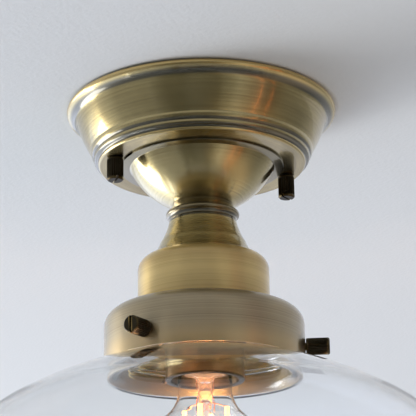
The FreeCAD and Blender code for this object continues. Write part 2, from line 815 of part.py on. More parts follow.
def shade_screw(name, angle):
    """Thumb screw drawn head up along its own Z: shank, knurled head, slotted end."""
    radius = s.screw_head_radius
    shank = s.screw_radius
    reach = s.gallery_radius + s.gap - s.screw_tip
    end = reach + s.screw_head_length
    body = turned(name, [
        at(0, 0),
        at(shank - 0.6, 0),
        at(shank, 0.6),
        at(shank, reach),
        at(radius - 0.4, reach),
        at(radius, reach + 0.4),
        at(radius, end - 0.5),
        at(radius - 0.5, end),
        at(0, end),
    ])
    doc.recompute()
    knurl(body, name, radius, end - 1.2, s.screw_head_length - 2.4)
    doc.recompute()
    slot = new_sketch(body, name + "_slot", "XY_Plane", end)
    rectangle(slot, -6.0, -0.6, 6.0, 0.6)
    cut = pocket(body, slot, 1.6)
    body.Tip = cut
    turn = math.radians(angle)
    outward = FreeCAD.Rotation(FreeCAD.Vector(0, 0, 1),
                               FreeCAD.Vector(math.cos(turn), math.sin(turn), 0))
    place(body, s.screw_tip * round(math.cos(turn), 6), s.screw_tip * round(math.sin(turn), 6),
          -s.screw_depth, outward)


# ---------------------------------------------------------------- bulb

BULB_TIP = 105.6
BULB_CAP_TOP = 108.2
BULB_THREAD_TOP = SHELL_TOP + 5.6
BULB_THREAD_TURNS = 6
FILAMENT_TOP = 157.0
FILAMENT_LENGTH = 38.0
FILAMENT_RADIUS = 1.1
FILAMENT_CIRCLE = 11.0
LEAD_WIRE_RADIUS = 0.3


def bulb_cap():
    """Screw cap with a rounded thread, a plain skirt and a closed shoulder at its top."""
    crest = s.cap_radius
    wave = thread_wave(crest, BULB_THREAD_TOP, BULB_THREAD_TURNS)
    end = BULB_THREAD_TOP + s.thread_pitch * BULB_THREAD_TURNS
    turned("bulb_cap", [at(4.0, -BULB_CAP_TOP), at(crest - 2.4, -BULB_CAP_TOP)] + wave
           + [at(crest, -end - 0.6), at(crest, -end - 3.0), at(crest - 0.6, -end - 3.0),
              at(crest - 1.5, -end - 0.3), at(crest - 1.5, -BULB_CAP_TOP - 2.0),
              at(4.0, -BULB_CAP_TOP - 0.6)])


def bulb_cap_ends():
    """Black glass insulator and the solder tip at the top of the cap."""
    insulator = Part.makeCone(9.0, 4.6, BULB_CAP_TOP - BULB_TIP - 1.0,
                              FreeCAD.Vector(0, 0, -BULB_CAP_TOP))
    shape_of("bulb_cap_insulator", insulator)
    tip = Part.makeCone(4.4, 3.2, 1.0, FreeCAD.Vector(0, 0, -BULB_TIP - 1.0))
    shape_of("bulb_tip_contact", tip)


def bulb_glass():
    """Blown envelope: neck in the cap, concave flare, round end."""
    wall = 0.8
    neck = s.bulb_neck
    ball = s.bulb_radius
    centre = -s.bulb_centre
    flare_start = centre + 36.0
    flare = 17.9
    # The flare's arc meets the ball on the line between their two centres.
    reach = (neck.value + flare, 36.0)
    span = math.hypot(*reach)
    across = reach[0] / span
    along = reach[1] / span
    top = -(BULB_THREAD_TOP + s.thread_pitch * BULB_THREAD_TURNS + 3.0)
    turned("bulb_glass", [
        at(0, centre - ball),
        at(ball, centre, ball),
        at(ball * across, centre + ball * along, ball),
        at(neck, flare_start, -flare),
        at(neck, top - 1.0),
        at(s.cap_radius - 0.6, top),
        at(s.cap_radius - 0.6 - wall, top),
        at(neck - wall, top - 1.6),
        at(neck - wall, flare_start),
        at((ball - wall) * across, centre + (ball - wall) * along, flare + wall),
        at(ball - wall, centre, -(ball - wall)),
        at(0, centre - ball + wall, -(ball - wall)),
    ])


def bulb_stem():
    """Glass mount: flared foot at the neck, tube, pinch and a slim rod."""
    turned("bulb_stem", [
        at(0, -199.0),
        at(1.4, -198.4),
        at(1.4, -160.0),
        at(3.4, -155.0),
        at(3.4, -143.0),
        at(8.0, -137.0, -9.0),
        at(11.5, -135.6),
        at(11.5, -134.6),
        at(7.0, -136.2),
        at(2.4, -142.0, 8.0),
        at(0, -142.0),
    ])


def ring_of(angles, radius):
    for angle in angles:
        turn = math.radians(angle)
        yield radius * math.cos(turn), radius * math.sin(turn)


def bulb_filaments():
    """Four upright filament rods round the stem."""
    rods = [rod(FILAMENT_RADIUS, FILAMENT_LENGTH, x, y, -FILAMENT_TOP)
            for x, y in ring_of(FILAMENT_ANGLES, FILAMENT_CIRCLE)]
    shape_of("bulb_filaments", Part.makeCompound(rods))


def bulb_lead_wires():
    """Wires from the stem's surface to both ends of each filament."""
    doc.recompute()
    ends = Part.makeCompound([node.Shape for node in NODES
                              if node.Label in ("bulb_stem", "bulb_filaments")])
    wires = []
    for x, y in ring_of(FILAMENT_ANGLES, FILAMENT_CIRCLE):
        for level, root in ((-FILAMENT_TOP, -153.0), (-FILAMENT_TOP - FILAMENT_LENGTH, -196.0)):
            start = FreeCAD.Vector(0, 0, root)
            run = FreeCAD.Vector(x, y, level) - start
            wires.append(Part.makeCylinder(LEAD_WIRE_RADIUS, run.Length, start, run).cut(ends))
    shape_of("bulb_lead_wires", Part.makeCompound(wires))


# ---------------------------------------------------------------- the whole light

def build():
    mounting_strap()
    strap_studs()
    stud_lock_nuts()
    earth_screw()
    terminal_block()
    terminal_screws()
    terminal_block_screws()
    ceiling_pan()
    dome_cover()
    neck_collar()
    neck_bell()
    lampholder_cup()
    stem_tube()
    stem_fixings()
    holder_cap()
    holder_insulator()
    holder_sleeve()
    shade_ring()
    screw_shell()
    centre_contact()
    contact_screws()
    leads()
    shade_gallery()
    glass_shade()
    rose_nut("rose_nut_left", -1)
    rose_nut("rose_nut_right", 1)
    for name, angle in SHADE_SCREWS.items():
        shade_screw(name, angle)
    bulb_cap()
    bulb_cap_ends()
    bulb_glass()
    bulb_stem()
    bulb_filaments()
    bulb_lead_wires()


def check_and_export():
    doc.recompute()
    failed = [o.Name for o in doc.Objects if "Invalid" in o.State or "Error" in o.State]
    if failed:
        raise RuntimeError("failed objects: %s" % ", ".join(failed))
    os.makedirs("parts", exist_ok=True)
    for node in NODES:
        shape = node.Shape
        if shape.isNull() or not shape.isValid():
            raise RuntimeError("no valid shape: " + node.Label)
        box = shape.BoundBox
        print("%-20s %10.1f mm3  solids %d  z %8.2f to %8.2f" % (
            node.Label, shape.Volume, len(shape.Solids), box.ZMin, box.ZMax))
        shape.exportStep("parts/%s.step" % node.Label)


build()
check_and_export()
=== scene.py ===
# %% [markdown]
# # A semi flush ceiling light in antique brass and clear glass
# The light is a stack of spun and turned brass pieces on one axis, with a clear glass bell
# held by three thumb screws and a filament bulb inside it. The solid model of the light is
# loaded first. It fixes every size and every place, so this file only has to add the looks and
# the bulb's finest wires.

# %% Load the frame
import bpy
import bmesh
import math
from mathutils import Matrix, Vector


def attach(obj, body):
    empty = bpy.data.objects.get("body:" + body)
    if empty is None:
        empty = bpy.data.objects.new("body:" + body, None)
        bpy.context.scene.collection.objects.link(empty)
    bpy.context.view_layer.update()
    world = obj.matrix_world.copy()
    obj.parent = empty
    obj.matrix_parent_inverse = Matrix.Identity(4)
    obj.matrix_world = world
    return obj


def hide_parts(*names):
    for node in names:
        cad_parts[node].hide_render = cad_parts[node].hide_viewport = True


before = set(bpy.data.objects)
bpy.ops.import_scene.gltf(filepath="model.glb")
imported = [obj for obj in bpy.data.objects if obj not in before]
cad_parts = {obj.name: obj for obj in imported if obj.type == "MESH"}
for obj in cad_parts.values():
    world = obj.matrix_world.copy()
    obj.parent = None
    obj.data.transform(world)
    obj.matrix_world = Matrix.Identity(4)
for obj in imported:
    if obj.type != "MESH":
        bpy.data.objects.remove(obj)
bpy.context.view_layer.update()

# %% [markdown]
# ## Units
# The light was measured in millimetres and Blender works in metres. One constant keeps the
# real sizes readable: 12 * MM is twelve millimetres.

# %% Millimetres
MM = 0.001
FULL_TURN = 2 * math.pi

# %% [markdown]
# ## The camera
# The photograph looks up at the light from below, through a long lens. The turned pieces show
# as ellipses, and how wide and how flat each one is gives the pitch and the distance.

# %% Camera
IMAGE_WIDTH = 416
FOCAL_PIXELS = 1740.0
SENSOR_MM = 36.0
CAMERA_BACK = 846.0
CAMERA_DROP = 349.6
PITCH, YAW, ROLL = (math.radians(a) for a in (19.31, 0.19, -0.91))
FRAME_DEGREES = -19.0
FRAME_TURN = Matrix.Rotation(math.radians(FRAME_DEGREES), 3, "Z")

ahead = Vector((
    math.sin(YAW) * math.cos(PITCH), math.cos(YAW) * math.cos(PITCH), math.sin(PITCH)))
level = Vector((math.cos(YAW), -math.sin(YAW), 0.0))
above = level.cross(ahead)
right = math.cos(ROLL) * level + math.sin(ROLL) * above
upward = -math.sin(ROLL) * level + math.cos(ROLL) * above
right, upward, ahead = (FRAME_TURN @ axis for axis in (right, upward, ahead))
eye = FRAME_TURN @ Vector((0.0, -CAMERA_BACK, -CAMERA_DROP)) * MM

camera_data = bpy.data.cameras.new("camera")
camera_data.sensor_width = SENSOR_MM
camera_data.lens = FOCAL_PIXELS / IMAGE_WIDTH * SENSOR_MM
camera_data.clip_start = 0.01
camera = bpy.data.objects.new("camera", camera_data)
camera.matrix_world = Matrix((
    (right.x, upward.x, -ahead.x, eye.x),
    (right.y, upward.y, -ahead.y, eye.y),
    (right.z, upward.z, -ahead.z, eye.z),
    (0, 0, 0, 1)))
bpy.context.scene.collection.objects.link(camera)
bpy.context.scene.camera = camera
print("lens %.1f mm, camera %.2f m away" % (camera_data.lens, eye.length))


def from_camera(across, away, height):
    """A place in metres given as seen in the picture: to its right, away from it, and up."""
    return FRAME_TURN @ Vector((across, away, height))


# %% [markdown]
# ## Colour and node helpers
# Colours are written as sRGB hex values, as a paint chart gives them, and turned to linear
# light once. One small function adds a shader node with its settings and its links.

# %% Colour and nodes
def colour(code):
    """sRGB hex to linear RGBA."""
    channels = [int(code[i:i + 2], 16) / 255 for i in (1, 3, 5)]
    linear = [c / 12.92 if c <= 0.04045 else ((c + 0.055) / 1.055) ** 2.4 for c in channels]
    return (*linear, 1.0)


def add(tree, kind, settings=None, links=None, **values):
    """Adds a node. settings are its properties, values its sockets, links its inputs."""
    node = tree.nodes.new(kind)
    for name, value in (settings or {}).items():
        setattr(node, name, value)
    for name, value in values.items():
        node.inputs[name.replace("_", " ")].default_value = value
    for name, source in (links or {}).items():
        tree.links.new(source, node.inputs[name])
    return node


def new_material(name):
    """An empty material and its tree; the caller adds the shader and the output."""
    material = bpy.data.materials.new(name)
    material.use_nodes = True
    material.node_tree.nodes.clear()
    return material, material.node_tree


def output(tree, shader):
    """Ends a material with its shader."""
    add(tree, "ShaderNodeOutputMaterial", links={"Surface": shader})


# %% [markdown]
# ## Antique brass
# Spun brass is toned brown, rubbed back on the lathe with a fine abrasive and lacquered. The
# rubbing leaves fine rings round the axis, which stretch every reflection along the profile:
# that is what anisotropy does. The rings also carry slightly darker and lighter toning.
# A ring's place is its depth below the ceiling plus its distance from the axis, so one noise
# along that number gives rings on walls and on flat faces alike. The real rings are about
# 0.05 mm apart, too fine to show, so they are drawn about 0.6 mm apart.

# %% Ring coordinate
def ring_coordinate(tree):
    """Depth plus distance from the Z axis, in metres: constant along each lathe mark."""
    place = add(tree, "ShaderNodeTexCoord").outputs["Object"]
    parts = add(tree, "ShaderNodeSeparateXYZ", links={"Vector": place})
    flat = add(tree, "ShaderNodeCombineXYZ",
               links={"X": parts.outputs["X"], "Y": parts.outputs["Y"]})
    radius = add(tree, "ShaderNodeVectorMath", {"operation": "LENGTH"}, {"Vector": flat.outputs[0]})
    ring = add(tree, "ShaderNodeMath", {"operation": "SUBTRACT"},
               {0: radius.outputs["Value"], 1: parts.outputs["Z"]})
    return place, ring.outputs[0]


# %% Patina and painted shade in the grooves, wear and painted highlights on the edges
def near_heights(tree, height, places):
    """1 on each (height, half width) in millimetres, 0 away from them."""
    lines = None
    for middle, half_width in places:
        offset = add(tree, "ShaderNodeMath", {"operation": "SUBTRACT"}, {0: height})
        offset.inputs[1].default_value = middle * MM
        away = add(tree, "ShaderNodeMath", {"operation": "ABSOLUTE"}, {0: offset.outputs[0]})
        line = add(tree, "ShaderNodeMapRange", {"interpolation_type": "SMOOTHSTEP"},
                   {"Value": away.outputs[0]}, From_Min=0.3 * half_width * MM,
                   From_Max=half_width * MM, To_Min=1.0, To_Max=0.0).outputs[0]
        if lines is not None:
            line = add(tree, "ShaderNodeMath", {"operation": "MAXIMUM"},
                       {0: lines, 1: line}).outputs[0]
        lines = line
    return lines


def painted_over(tree, under, factor, code):
    """The colour under, with another laid over it by a factor."""
    layer = add(tree, "ShaderNodeMix", {"data_type": "RGBA"}, {"Factor": factor, 6: under})
    layer.inputs[7].default_value = colour(code)
    return layer.outputs[2]


# %% Antique brass
RING_SPACING = 0.6 * MM
MARK_DEPTH = 0.01 * MM
FINE_SHARE = 0.9
ROUGHNESS_SPREAD = 0.02
BRUSH_STRETCH = 0.92
ACROSS_THE_MARKS = 0.25
# The first colour is patina in the grooves and creases, darkened further as painted shade; the
# second is worn brass lightened as a painted highlight on the edges.
PATINA_AND_SHADE = "#5E5949"
WEAR_AND_HIGHLIGHT = "#D6BA7A"


def antique_brass(name, light, dark, roughness, patina_and_shade=(), wear_and_painted_light=(), wear_and_painted_light_colour=WEAR_AND_HIGHLIGHT,
                  lacquer=0.8):
    """Toned and brushed brass. It is darkened at the first list of heights, patina with painted
    shade, and takes the second colour at the second list: wear with a painted highlight, painted
    shade where that colour is dark.
    """
    material, tree = new_material(name)
    place, ring = ring_coordinate(tree)
    fine = add(tree, "ShaderNodeTexNoise", {"noise_dimensions": "1D"}, {"W": ring},
               Scale=1 / RING_SPACING, Detail=3.0, Roughness=0.6)
    broad = add(tree, "ShaderNodeTexNoise", {"noise_dimensions": "1D"}, {"W": ring},
                Scale=120.0, Detail=2.0)
    cloud = add(tree, "ShaderNodeTexNoise", links={"Vector": place}, Scale=28.0, Detail=3.0)
    mixed = add(tree, "ShaderNodeMath", {"operation": "MULTIPLY_ADD"},
                {0: fine.outputs[0], 2: broad.outputs[0]})
    mixed.inputs[1].default_value = FINE_SHARE
    toning = add(tree, "ShaderNodeMath", {"operation": "ADD"},
                 {0: mixed.outputs[0], 1: cloud.outputs[0]})
    tone = add(tree, "ShaderNodeMapRange", links={"Value": toning.outputs[0]},
               From_Min=1.0, From_Max=1.75)
    paint = add(tree, "ShaderNodeMix", {"data_type": "RGBA"}, {"Factor": tone.outputs[0]})
    paint.inputs[6].default_value = colour(dark)
    paint.inputs[7].default_value = colour(light)
    shade = paint.outputs[2]
    height = add(tree, "ShaderNodeSeparateXYZ", links={"Vector": place}).outputs["Z"]
    # Darken the given heights with patina and painted shade, then lay the second colour over: a
    # painted highlight on worn edges, painted shade where that colour is dark.
    if patina_and_shade:
        shade = painted_over(tree, shade, near_heights(tree, height, patina_and_shade), PATINA_AND_SHADE)
    if wear_and_painted_light:
        shade = painted_over(tree, shade, near_heights(tree, height, wear_and_painted_light), wear_and_painted_light_colour)
    rub = add(tree, "ShaderNodeMapRange", links={"Value": fine.outputs[0]},
              From_Min=0.3, From_Max=0.7, To_Min=roughness + ROUGHNESS_SPREAD,
              To_Max=roughness - ROUGHNESS_SPREAD)
    marks = add(tree, "ShaderNodeBump", links={"Height": fine.outputs[0]},
                Strength=0.05, Distance=MARK_DEPTH)
    round_axis = add(tree, "ShaderNodeTangent", {"direction_type": "RADIAL", "axis": "Z"})
    metal = add(tree, "ShaderNodeBsdfPrincipled", links={
        "Base Color": shade, "Roughness": rub.outputs[0],
        "Normal": marks.outputs[0], "Tangent": round_axis.outputs[0]},
        Metallic=1.0, Anisotropic=BRUSH_STRETCH, Anisotropic_Rotation=ACROSS_THE_MARKS,
        Coat_Weight=lacquer, Coat_Roughness=0.06)
    output(tree, metal.outputs[0])
    return material


# On the pan the dark cove and grooves are patina deepened as painted shade, standing in for their
# dark reflections, and the light rim roll and face corner are wear with a painted highlight.
PAN_BRASS = antique_brass("antique_brass_pan", "#C0AE79", "#8F7D4E", 0.235,
                          patina_and_shade=[(-4.9, 1.7), (-25.6, 1.1), (-28.6, 1.6)],
                          wear_and_painted_light=[(-1.7, 1.9), (-29.9, 0.5)])
# The dark band on the dome's foot is a painted shadow where it meets the pan.
DOME_BRASS = antique_brass("antique_brass_dome", "#CAB985", "#9C8A58", 0.24,
                           patina_and_shade=[(-31.2, 0.9)])
# The dark band at the top of the bell is painted shade under the collar.
BELL_BRASS = antique_brass("antique_brass_bell", "#BBA76E", "#94814E", 0.27,
                           patina_and_shade=[(-61.5, 1.0)])
CUP_BRASS = antique_brass("antique_brass_satin", "#D8BC7A", "#BA9C60", 0.34)
# The gallery is made lighter towards its bottom rim.
GALLERY_BRASS = antique_brass("antique_brass_gallery", "#AB9B7A", "#8B7B5E", 0.34,
                              wear_and_painted_light=[(-138.0, 13.0)], wear_and_painted_light_colour="#BCA478")
# The dark bands above and below the bead are patina and painted shade in its creases.
COLLAR_BRASS = antique_brass("antique_brass_collar", "#8E7E5A", "#60563C", 0.24,
                             patina_and_shade=[(-56.2, 1.0), (-59.6, 1.2)])
# The dark brown band at the sleeve's mouth is painted shade.
SLEEVE_BRASS = antique_brass("antique_brass_sleeve", "#A68A68", "#7E664A", 0.3,
                             wear_and_painted_light=[(-141.4, 2.2)], wear_and_painted_light_colour="#3A2A1E", lacquer=0.0)
print("brass:", ", ".join(m.name for m in (
    PAN_BRASS, DOME_BRASS, BELL_BRASS, CUP_BRASS, GALLERY_BRASS, COLLAR_BRASS,
    SLEEVE_BRASS)))

# %% [markdown]
# ## Bronzed screws, plated steel, plain brass and plastic
# The nuts and thumb screws are brass chemically blackened to a brown bronze. What sits out of
# sight is zinc plated steel, plain machined brass, moulded plastic and wire.

# %% Plain metals
UNEVENNESS = 0.06


def plain_metal(name, code, roughness):
    """A metal with a slightly uneven finish."""
    material, tree = new_material(name)
    place = add(tree, "ShaderNodeTexCoord").outputs["Object"]
    cloud = add(tree, "ShaderNodeTexNoise", links={"Vector": place}, Scale=400.0, Detail=3.0)
    uneven = add(tree, "ShaderNodeMapRange", links={"Value": cloud.outputs[0]},
                 To_Min=roughness - UNEVENNESS, To_Max=roughness + UNEVENNESS)
    metal = add(tree, "ShaderNodeBsdfPrincipled", links={"Roughness": uneven.outputs[0]},
                Base_Color=colour(code), Metallic=1.0)
    output(tree, metal.outputs[0])
    return material


def bronzed(name, code, worn):
    """Blackened brass, worn back to brass along its sharp edges."""
    material, tree = new_material(name)
    edges = add(tree, "ShaderNodeNewGeometry").outputs["Pointiness"]
    wear = add(tree, "ShaderNodeMapRange", links={"Value": edges},
               From_Min=0.54, From_Max=0.64, To_Min=0.0, To_Max=0.6)
    place = add(tree, "ShaderNodeTexCoord").outputs["Object"]
    cloud = add(tree, "ShaderNodeTexNoise", links={"Vector": place}, Scale=500.0, Detail=3.0)
    dull = add(tree, "ShaderNodeMapRange", links={"Value": cloud.outputs[0]},
               To_Min=0.28, To_Max=0.44)
    paint = add(tree, "ShaderNodeMix", {"data_type": "RGBA"}, {"Factor": wear.outputs[0]})
    paint.inputs[6].default_value = colour(code)
    paint.inputs[7].default_value = colour(worn)
    metal = add(tree, "ShaderNodeBsdfPrincipled", links={
        "Base Color": paint.outputs[2], "Roughness": dull.outputs[0]}, Metallic=1.0)
    output(tree, metal.outputs[0])
    return material


BRONZE = bronzed("brass_bronzed_dark", "#332D21", "#A88C54")
STEEL = plain_metal("steel_zinc_plated", "#B9B9B2", 0.35)
PLAIN_BRASS = plain_metal("brass_machined", "#C4A868", 0.3)
CAP_METAL = plain_metal("brass_nickel_plated", "#C9C7C1", 0.25)
COPPER = plain_metal("copper_wire", "#E3A27E", 0.25)


# %% Plastic
def moulding(name, code, roughness):
    """Moulded plastic, vitrite or wire covering, with a very fine grain."""
    material, tree = new_material(name)
    place = add(tree, "ShaderNodeTexCoord").outputs["Object"]
    grain = add(tree, "ShaderNodeTexNoise", links={"Vector": place}, Scale=1500.0)
    bump = add(tree, "ShaderNodeBump", links={"Height": grain.outputs[0]},
               Strength=0.1, Distance=0.02 * MM)
    plastic = add(tree, "ShaderNodeBsdfPrincipled", links={"Normal": bump.outputs[0]},
                  Base_Color=colour(code), Roughness=roughness)
    output(tree, plastic.outputs[0])
    return material


PALE_MOULDING = moulding("moulded_polyamide", "#E4E2DA", 0.45)
BLACK_GLASS = moulding("black_vitrite", "#121214", 0.15)
BROWN_PVC = moulding("pvc_brown", "#4A2A17", 0.4)
BLUE_PVC = moulding("pvc_blue", "#1F5FA8", 0.4)
EARTH_PVC = moulding("pvc_green", "#5E9A2C", 0.4)

# %% [markdown]
# ## Clear glass and the filaments
# The shade is 3 mm soda glass, blown and fire polished, so it is smooth and clear and shows
# only by its reflections and its bent edges. The bulb is the same glass, under 1 mm thick. The
# pressed mount inside it is given a faint painted glow and a slight warm tint, standing in for
# the filaments' light that it would catch.
# Light from a lamp goes straight through both, so they throw only a faint shadow, as thin clear
# glass does; the eye still sees them bend and mirror the room.

# %% Glass
THROUGH_GLASS = "#F6F7F7"
# The colour of the glow painted on the stem glass in place of the filaments' light.
PAINTED_FILAMENT_GLOW = "#FFC49C"


def clear_glass(name, code, roughness=0.0, ior=1.5, painted_glow=0.0):
    """Clear glass that lets the lamps through, with a faint glow painted on it in the filaments'
    colour.
    """
    material, tree = new_material(name)
    glass = add(tree, "ShaderNodeBsdfPrincipled", Base_Color=colour(code), Roughness=roughness,
                IOR=ior, Transmission_Weight=1.0, Emission_Color=colour(PAINTED_FILAMENT_GLOW),
                Emission_Strength=painted_glow)
    clear = add(tree, "ShaderNodeBsdfTransparent", Color=colour(THROUGH_GLASS))
    rays = add(tree, "ShaderNodeLightPath")
    lit_through = add(tree, "ShaderNodeMath", {"operation": "MAXIMUM"},
                      {0: rays.outputs["Is Shadow Ray"], 1: rays.outputs["Is Diffuse Ray"]})
    both = add(tree, "ShaderNodeMixShader",
               links={0: lit_through.outputs[0], 1: glass.outputs[0], 2: clear.outputs[0]})
    output(tree, both.outputs[0])
    return material


SHADE_GLASS = clear_glass("soda_glass_clear", "#FBFCFC")
# The bulb's thin wall hardly bends what is seen through it, which a lower index gives.
BULB_GLASS = clear_glass("bulb_glass_clear", "#FDFCFA", ior=1.25)
# The mount's slight warm tint and its faint emission are a painted glow of the filaments' light.
MOUNT_GLASS = clear_glass("lead_glass_pressed", "#FDF3EA", 0.06, ior=1.13, painted_glow=0.16)


def glowing_rod(name, code, strength):
    """A filament rod: amber coating that glows."""
    material, tree = new_material(name)
    rod = add(tree, "ShaderNodeBsdfPrincipled", Base_Color=colour("#F0B060"), Roughness=0.5,
              Emission_Color=colour(code), Emission_Strength=strength)
    output(tree, rod.outputs[0])
    return material


FILAMENT = glowing_rod("filament_amber", "#FFBA66", 5.5)

# %% [markdown]
# ## How a spun piece is made
# Each brass piece is one profile turned round the axis. The profile starts as a single vertex,
# which is extruded from corner to corner. A round stretch is the last vertex spun about the
# arc's centre. Then the whole wire is spun once about Z, which is what the lathe does.

# %% Profile pen
ARC_STEP = 0.8
FEWEST_STEPS, MOST_STEPS = 4, 40
ON_AXIS = 0.001 * MM


def pen_start(radius, height):
    """A bmesh with one vertex at the start of a profile, in millimetres."""
    mesh = bmesh.new()
    vertex = mesh.verts.new((radius * MM, 0.0, height * MM))
    return mesh, vertex


def line_to(mesh, vertex, radius, height):
    """Extrudes the profile straight to the next corner."""
    made = bmesh.ops.extrude_vert_indiv(mesh, verts=[vertex])
    new = made["verts"][0]
    new.co = (radius * MM, 0.0, height * MM)
    return new


def arc_to(mesh, vertex, radius, height, bend, steps):
    """Spins the profile's end to the next corner. A positive bend turns left."""
    start = vertex.co.copy()
    end = Vector((radius * MM, 0.0, height * MM))
    chord = end - start
    reach = abs(bend) * MM
    rise = math.sqrt(max(reach ** 2 - (chord.length / 2) ** 2, 0.0))
    left = Vector((-chord.z, 0.0, chord.x)).normalized()
    side = 1 if bend > 0 else -1
    centre = (start + end) / 2 + left * rise * side
    angle = 2 * math.asin(min(1.0, chord.length / 2 / reach)) * side
    made = bmesh.ops.spin(mesh, geom=[vertex], cent=centre, axis=(0, -1, 0), dvec=(0, 0, 0),
                          angle=angle, steps=steps)
    new = next(v for v in made["geom_last"] if isinstance(v, bmesh.types.BMVert))
    new.co = end
    return new


def draw_profile(corners):
    """corners are (radius, height), or (radius, height, bend) where an arc arrives."""
    mesh, vertex = pen_start(*corners[0][:2])
    first = vertex
    for corner in corners[1:]:
        if len(corner) == 2:
            vertex = line_to(mesh, vertex, *corner)
        else:
            length = math.hypot(corner[0] - vertex.co.x / MM, corner[1] - vertex.co.z / MM)
            steps = max(FEWEST_STEPS, min(MOST_STEPS, int(length / ARC_STEP)))
            vertex = arc_to(mesh, vertex, *corner, steps)
    if first.co.x > ON_AXIS or vertex.co.x > ON_AXIS:
        mesh.edges.new((vertex, first))
    return mesh


# %% Lathe
SHARP_ANGLE = math.radians(40)
CORNER_ANGLE = math.radians(25)
WELD = 0.002 * MM


def as_object(name, mesh, material):
    """Turns a bmesh into an object of the scene, with one material."""
    data = bpy.data.meshes.new(name)
    mesh.to_mesh(data)
    mesh.free()
    data.materials.append(material)
    thing = bpy.data.objects.new(name, data)
    bpy.context.scene.collection.objects.link(thing)
    return thing


def finish_piece(mesh, name, material, body, nodes):
    """Smooths a bmesh into a piece that rides on its body and stands for its solids."""
    bmesh.ops.remove_doubles(mesh, verts=mesh.verts, dist=WELD)
    bmesh.ops.recalc_face_normals(mesh, faces=mesh.faces)
    for face in mesh.faces:
        face.smooth = True
    for edge in mesh.edges:
        edge.smooth = len(edge.link_faces) == 2 and edge.calc_face_angle(0.0) < SHARP_ANGLE
    piece = as_object(name, mesh, material)
    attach(piece, body)
    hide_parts(*nodes)
    print("%s: %d faces" % (name, len(piece.data.polygons)))
    return piece


def lathe(name, corners, material, body="fixture", nodes=None, steps=160, edge=0.25):
    """A turned piece. edge rounds every corner that has no arc of its own, in millimetres."""
    mesh = draw_profile(corners)
    if edge:
        sharp = [v for v in mesh.verts if len(v.link_edges) == 2 and v.co.x > 0.2 * MM
                 and v.calc_edge_angle(0.0) > CORNER_ANGLE]
        bmesh.ops.bevel(mesh, geom=sharp, offset=edge * MM, segments=3, profile=0.5,
                        affect="VERTICES", material=-1)
    bmesh.ops.spin(mesh, geom=mesh.verts[:] + mesh.edges[:], cent=(0, 0, 0), axis=(0, 0, 1),
                   dvec=(0, 0, 0), angle=FULL_TURN, steps=steps, use_merge=True)
    return finish_piece(mesh, name, material, body, nodes or [name])


# %% [markdown]
# ## The ceiling pan
# The pan, or rose, hides the wiring. It is spun from one disc: a rolled rim at the ceiling, a
# small cove under it, a tapering wall, two grooves round a bead, and a flat face below.

# %% Ceiling pan
RIM = 70.4
PAN_DEPTH = 30.7
FACE = 52.4
WALL_END = 57.7
STEM = 5.0

lathe("rose_pan", [
    (RIM - 2.2, 0.0),
    (RIM - 2.4, -2.4),
    (RIM - 6.6, -7.6, 6.0),
    (WALL_END - 1.2, -22.6, -60.0),
    (FACE + 1.9, -27.0),
    (FACE, -29.7, -2.6),
    (STEM, -29.7),
    (STEM, -PAN_DEPTH),
    (FACE, -PAN_DEPTH),
    (FACE + 1.4, -29.8, 1.2),
    (FACE + 2.5, -28.4, -1.2),
    (FACE + 3.6, -26.7, 1.6),
    (FACE + 4.2, -25.4, -1.1),
    (WALL_END, -22.4, 4.0),
    (RIM - 5.8, -7.9, 60.0),
    (RIM - 2.2, -3.9, -5.6),
    (RIM - 1.6, -3.5),
    (RIM - 0.9, -0.02, 1.9),
], PAN_BRASS, nodes=["ceiling_pan"], steps=256)

# %% [markdown]
# ## The dome cover
# A spun dome lies against the pan with a thin turned-out foot. It is part of a sphere.

# %% Dome cover
SPHERE = 41.8
SPHERE_DEPTH = 13.0
DOME_FOOT = 42.3
DOME_DEPTH = 51.9


def sphere_radius(radius, depth):
    """Half width of a sphere of the dome's centre at a depth below the ceiling."""
    return math.sqrt(radius ** 2 - (depth - SPHERE_DEPTH) ** 2)


lathe("rose_dome", [
    (STEM, -DOME_DEPTH),
    (sphere_radius(SPHERE, DOME_DEPTH), -DOME_DEPTH),
    (sphere_radius(SPHERE, PAN_DEPTH + 1.0), -PAN_DEPTH - 1.0, SPHERE),
    (DOME_FOOT, -PAN_DEPTH - 1.0),
    (DOME_FOOT, -PAN_DEPTH),
    (sphere_radius(SPHERE - 1.0, PAN_DEPTH), -PAN_DEPTH),
    (sphere_radius(SPHERE - 1.0, DOME_DEPTH - 1.0), 1.0 - DOME_DEPTH, 1.0 - SPHERE),
    (STEM, 1.0 - DOME_DEPTH),
], DOME_BRASS, nodes=["dome_cover"], steps=192)

# %% [markdown]
# ## Collar and bell
# The collar is turned from bar, with one bead round it. The bell under it is spun and flares
# down onto the small cup.

# %% Collar and bell
BEAD = 18.9
COLLAR_DEPTH = 60.8
WAIST = 17.3
BELL = 26.6
CUP_TOP = 80.7

lathe("neck_ring", [
    (STEM, -COLLAR_DEPTH),
    (WAIST, -COLLAR_DEPTH),
    (WAIST, -COLLAR_DEPTH + 1.0),
    (BEAD - 0.3, -COLLAR_DEPTH + 2.4, -1.6),
    (BEAD - 0.3, -COLLAR_DEPTH + 4.4, 1.8),
    (BEAD - 3.2, -DOME_DEPTH, -6.0),
    (STEM, -DOME_DEPTH),
], COLLAR_BRASS, nodes=["neck_collar"])

lathe("neck_flare", [
    (BELL - 1.2, -CUP_TOP),
    (BELL, -CUP_TOP),
    (WAIST + 4.6, -CUP_TOP + 8.0, -24.0),
    (WAIST, -COLLAR_DEPTH, -34.0),
    (STEM, -COLLAR_DEPTH),
    (STEM, -COLLAR_DEPTH - 1.2),
    (WAIST - 1.2, -COLLAR_DEPTH - 1.2),
    (WAIST + 3.4, -CUP_TOP + 8.0, 34.0),
], BELL_BRASS, nodes=["neck_bell"])

# %% [markdown]
# ## The two cups
# The small cup covers the lampholder and the large one, the gallery, carries the glass. Both
# are plain spun cups: a flat top, a rounded shoulder and a straight wall.

